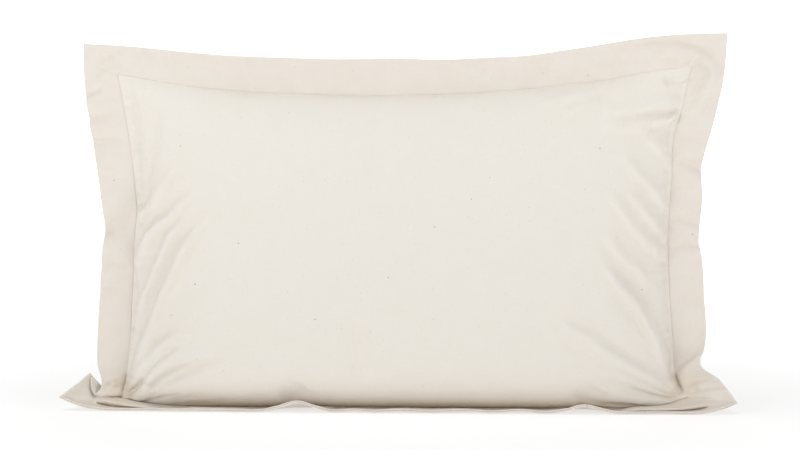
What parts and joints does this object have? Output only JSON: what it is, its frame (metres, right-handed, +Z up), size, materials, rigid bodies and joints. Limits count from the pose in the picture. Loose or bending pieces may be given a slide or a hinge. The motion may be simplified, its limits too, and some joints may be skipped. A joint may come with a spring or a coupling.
{
  "type": "flanged pillowcase, filled",
  "caption": "Filled pillowcase of unbleached cotton with a flat stitched flange, standing on its long edge with drawn-in sides and splayed lower corners",
  "frame": {"origin": "centre of the footprint, on the surface that the part stands on", "axes": "+X along the long side, -Y the front, +Z up"},
  "size_m": [0.9144, 0.1606, 0.5121],
  "materials": {
    "pocket_cotton": "matte plain-woven cotton",
    "flange_cotton": "matte plain-woven cotton"
  },
  "bodies": {
    "root": {"filled_pocket": "pocket_cotton", "flange": "flange_cotton"}
  },
  "joints": []
}
